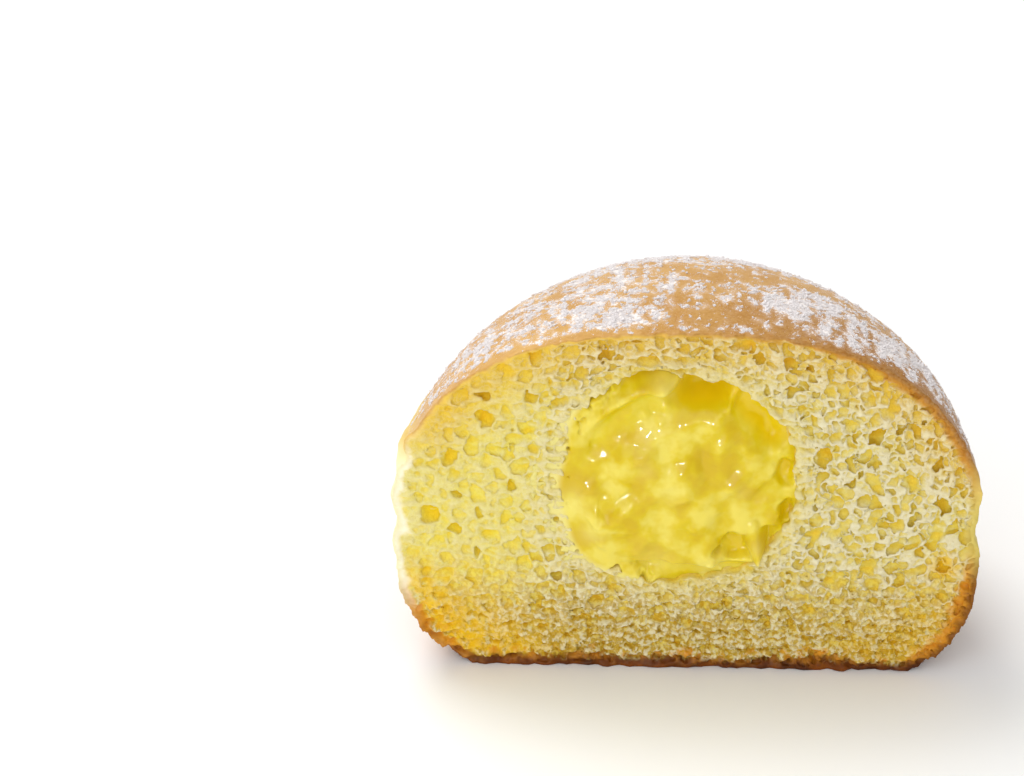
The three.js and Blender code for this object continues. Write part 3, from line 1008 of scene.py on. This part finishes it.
def crumb_colour(graph):
    """Pale strands, golden floors and deeper gold in the open bubbles, with painted shade in the
    pits, crevices and gaps and towards the bottom, painted highlights on the ridges, and painted
    light from behind on the left.
    """
    # Painted shade: the floors turn more golden the deeper they lie, in place of the shade in the
    # pits and the light passing through the crumb into them.
    depth = graph.math("DIVIDE", graph.attribute("pit"), 1.6)
    crumb = graph.ramp(depth, (
        (0.0, screen(228, 218, 178)),
        (0.12, screen(225, 213, 154)),
        (0.3, screen(225, 209, 124)),
        (0.6, screen(229, 206, 84)),
        (1.0, screen(240, 199, 38)),
    ))
    # Painted light: a brighter, more yellow crumb on the left, as if light shone through it from
    # behind.
    painted_backlit_crumb = graph.ramp(depth, (
        (0.0, screen(231, 217, 130)),
        (0.15, screen(233, 218, 114)),
        (0.4, screen(238, 221, 88)),
        (0.7, screen(244, 219, 48)),
        (1.0, screen(247, 215, 20)),
    ))
    crumb = graph.mix(graph.attribute("painted_backlight"), crumb, painted_backlit_crumb)
    crumb = graph.mix(graph.part("top", 0.9), crumb, screen(253, 224, 142), "MULTIPLY")
    webs = graph.spread(graph.cells(0.8, 0.7), 0.12, 0.03)
    webs = graph.math("MULTIPLY", webs, graph.spread(depth, 0.1, 0.5, 0.35, 0.0))
    # Pale strands: the webs are the crumb's own pattern; the paler colour on raised ridges is partly
    # the strands' own colour and partly a painted highlight.
    painted_ridge_highlight = graph.math("MULTIPLY", graph.spread(graph.attribute("ridge"), 0.03, 0.2), 0.55)
    strands = graph.math("MAXIMUM", webs, painted_ridge_highlight)
    # The pale strands are weaker where the painted light from behind is.
    strands = graph.math("MULTIPLY", strands, graph.spread(graph.attribute("painted_backlight"), 0, 1, 1, 0.5))
    crumb = graph.mix(strands, crumb, screen(238, 230, 196))
    # Painted shade: hollows between the ridges are painted a deeper gold.
    painted_crevice_shade = graph.spread(graph.attribute("ridge"), -0.03, -0.2)
    crumb = graph.mix(graph.math("MULTIPLY", painted_crevice_shade, 0.35), crumb, screen(240, 212, 76))
    # Painted shade: darker towards the bottom.
    crumb = graph.mix(graph.part("low", 0.2), crumb, screen(222, 206, 170), "MULTIPLY")
    # Painted shade: patches of darker gold between the tufts, stronger towards the bottom.
    painted_gap_shade = graph.spread(graph.noise(0.7, 4.0), 0.56, 0.44)
    painted_gap_shade = graph.math("MULTIPLY", painted_gap_shade, graph.spread(graph.attribute("low"), 0.0, 1.0, 0.12, 0.9))
    crumb = graph.mix(painted_gap_shade, crumb, screen(216, 184, 34), "MULTIPLY")
    crumb = graph.mix(graph.part("soak", 0.35), crumb, screen(238, 218, 104))
    return graph.mix(graph.part("oily", 0.85), crumb, screen(242, 196, 20))


def skin_colour(graph):
    """Golden cap, pale belt and brown base, with a film of sugar, and painted shade that darkens them
    towards +X.
    """
    mottle = graph.spread(graph.noise(6.0, 3.0), 0.35, 0.65)
    golden = graph.mix(mottle, screen(196, 142, 62), screen(212, 164, 88))
    # Painted shade: the cap browner towards +X.
    golden = graph.mix(graph.part("side", 0.95), golden, screen(152, 96, 22))
    golden = graph.mix(graph.part("fried", 0.8), golden, screen(188, 122, 22))
    fine = graph.spread(graph.noise(0.5, 3.0), 0.35, 0.65)
    golden = graph.mix(graph.math("MULTIPLY", fine, 0.2), golden, screen(232, 196, 128))
    # Painted shade: the belt paler on the left and darker on the right.
    belt = graph.mix(graph.attribute("side"), screen(244, 235, 188), screen(212, 190, 98))
    skin = graph.mix(graph.spread(graph.attribute("cap"), 0.0, 0.5), belt, screen(232, 200, 104))
    skin = graph.mix(graph.spread(graph.attribute("cap"), 0.3, 1.0), skin, golden)
    brown = graph.mix(mottle, screen(182, 118, 40), screen(204, 146, 62))
    # Painted shade: the brown base darker towards +X.
    brown = graph.mix(graph.attribute("side"), brown, screen(136, 84, 20))
    burnt = graph.spread(graph.noise(2.5, 3.0), 0.35, 0.65)
    sole = graph.mix(burnt, screen(76, 34, 0), screen(132, 68, 2))
    skin = graph.mix(graph.attribute("base"), skin, graph.mix(graph.attribute("sole"), brown, sole))
    film = graph.part("dust", 0.55)
    skin = graph.mix(film, skin, screen(236, 222, 214))
    powder = graph.math("ADD", graph.noise(0.35, 4.0), graph.part("dust", 0.45))
    powder = graph.spread(powder, 0.68, 0.84, 0.0, 0.9)
    powder = graph.math("MULTIPLY", powder, graph.spread(graph.attribute("dust"), 0.0, 0.1))
    return graph.mix(powder, skin, screen(246, 242, 240))


def rind_colour(graph):
    """The baked layer between the skin and the crumb, with painted shade that darkens it towards +X.
    """
    # Painted shade: the rind darker towards +X.
    top = graph.mix(graph.attribute("side"), screen(238, 200, 84), screen(200, 138, 44))
    belt = graph.mix(graph.attribute("side"), screen(250, 244, 214), screen(218, 196, 102))
    base = graph.mix(graph.attribute("sole"), screen(216, 146, 34), screen(100, 48, 2))
    return graph.mix(graph.attribute("base"), graph.mix(graph.attribute("cap"), belt, top), base)


def dough_material():
    graph = Graph("dough")
    rind = graph.mix(graph.attribute("skin"), rind_colour(graph), skin_colour(graph))
    wrinkles = graph.noise(0.8, 4.0, (1.0, 1.0, 1.8))
    webbing = graph.math("ADD", graph.spread(graph.cells(0.6, 0.4), 0.0, 0.15), graph.noise(0.5, 4.0))
    graph.shade(
        Base_Color=graph.mix(graph.attribute("crust"), crumb_colour(graph), rind),
        Roughness=graph.spread(graph.attribute("crust"), 0.0, 1.0, 0.8, 0.5),
        Normal=graph.bump(graph.mix(graph.attribute("crust"), webbing, wrinkles), 0.1, 0.45),
        Specular_IOR_Level=0.15,
        Coat_Weight=graph.math("MULTIPLY", graph.attribute("skin"), graph.part("cap", 0.3)),
        Coat_Roughness=0.35,
    )
    return graph.material


def cream_material():
    graph = Graph("cream")
    colour = graph.ramp(graph.noise(5.0, 3.0), (
        (0.38, screen(215, 183, 0)),
        (0.5, screen(223, 198, 12)),
        (0.62, screen(236, 218, 88)),
    ))
    colour = graph.mix(graph.attribute("thin"), colour, screen(236, 222, 134))
    # Painted shade: the cream turns a deeper gold where it lies further behind the cut, in its
    # hollows and below the lip.
    painted_recess_shade = graph.spread(graph.attribute("depth"), 0.2, 1.2)
    colour = graph.mix(graph.math("MULTIPLY", painted_recess_shade, 0.6), colour, screen(226, 206, 16))
    # Painted shade: the deepest gold in the deepest hollows.
    deep = graph.spread(graph.attribute("depth"), 1.4, 3.0)
    colour = graph.mix(graph.math("MULTIPLY", deep, 0.9), colour, screen(234, 206, 10))
    # Painted highlights: paler where the cream stands out.
    colour = graph.mix(graph.part("pale", 0.65), colour, screen(248, 238, 142))
    graph.shade(
        Base_Color=colour,
        Roughness=0.3,
        Specular_IOR_Level=0.15,
        Coat_Weight=0.3,
        Coat_Roughness=0.06,
        Coat_IOR=1.7,
        Normal=graph.bump(graph.noise(1.2, 3.0), 0.1, 0.2),
        Subsurface_Weight=0.5,
        Subsurface_Radius=(1.0, 0.95, 0.7),
        Subsurface_Scale=0.8 * MM,
    )
    return graph.material


def sugar_material():
    graph = Graph("icing_sugar")
    shade = graph.mix(graph.noise(0.6, 2.0), screen(242, 237, 236), screen(231, 225, 225))
    graph.shade(Base_Color=shade, Roughness=0.8, Specular_IOR_Level=0.2)
    return graph.material


def floor_material():
    graph = Graph("floor")
    graph.shade(Base_Color=(0.92, 0.92, 0.92, 1), Roughness=0.6)
    return graph.material


dough = make_dough()
dress_dough(dough)
cream = make_cream()
sugar_look = sugar_material()
sugar = [(scatter_grains(name, *kind), sugar_look, "dough") for name, kind in SUGAR.items()]
for piece, material, slot in (
    (dough, dough_material(), "dough"),
    (cream, cream_material(), "cream"),
    *sugar,
):
    piece.data.materials.clear()
    piece.data.materials.append(material)
    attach(piece, "root")
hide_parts("dough")
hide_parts("cream")

# The camera.
back = Vector((
    math.sin(AZIMUTH) * math.cos(ELEVATION),
    -math.cos(AZIMUTH) * math.cos(ELEVATION),
    math.sin(ELEVATION),
))
camera = bpy.data.objects.new("camera", bpy.data.cameras.new("camera"))
bpy.context.scene.collection.objects.link(camera)
camera.data.lens = LENS
camera.rotation_mode = "QUATERNION"
camera.rotation_quaternion = (-back).to_track_quat("-Z", "Y")
right = camera.rotation_quaternion @ Vector((1, 0, 0))
up = camera.rotation_quaternion @ Vector((0, 1, 0))
seen = AXIS + Vector((0, CUT_Y, SEEN_HEIGHT)) * MM
sideways = (IMAGE_CENTRE[0] - SEEN_PIXEL[0]) / SCALE * MM
upwards = (SEEN_PIXEL[1] - IMAGE_CENTRE[1]) / SCALE * MM
camera.location = seen + right * sideways + up * upwards + back * DISTANCE
bpy.context.scene.camera = camera

# Floor, light and the picture's tones.
bpy.ops.mesh.primitive_plane_add(size=FLOOR_SIZE, location=(0, 0, AXIS.z))
floor = bpy.context.object
floor.name = "floor"
floor.data.materials.append(floor_material())


def softbox(name, place, size, power):
    lamp = bpy.data.objects.new(name, bpy.data.lights.new(name, "AREA"))
    lamp.data.energy = power
    lamp.data.size = size
    lamp.location = place
    lamp.rotation_mode = "QUATERNION"
    lamp.rotation_quaternion = (Vector(place) - seen).to_track_quat("Z", "Y")
    bpy.context.scene.collection.objects.link(lamp)
    return lamp


lamps = {name: softbox(name, *values) for name, values in LAMPS.items()}
lamps["spark"].visible_diffuse = False  # it shows only in reflections
world = bpy.data.worlds.new("studio")
bpy.context.scene.world = world
world.use_nodes = True
world.node_tree.nodes["Background"].inputs["Color"].default_value = (1, 1, 1, 1)
world.node_tree.nodes["Background"].inputs["Strength"].default_value = SKY_LIGHT
bpy.context.scene.view_settings.view_transform = "Standard"
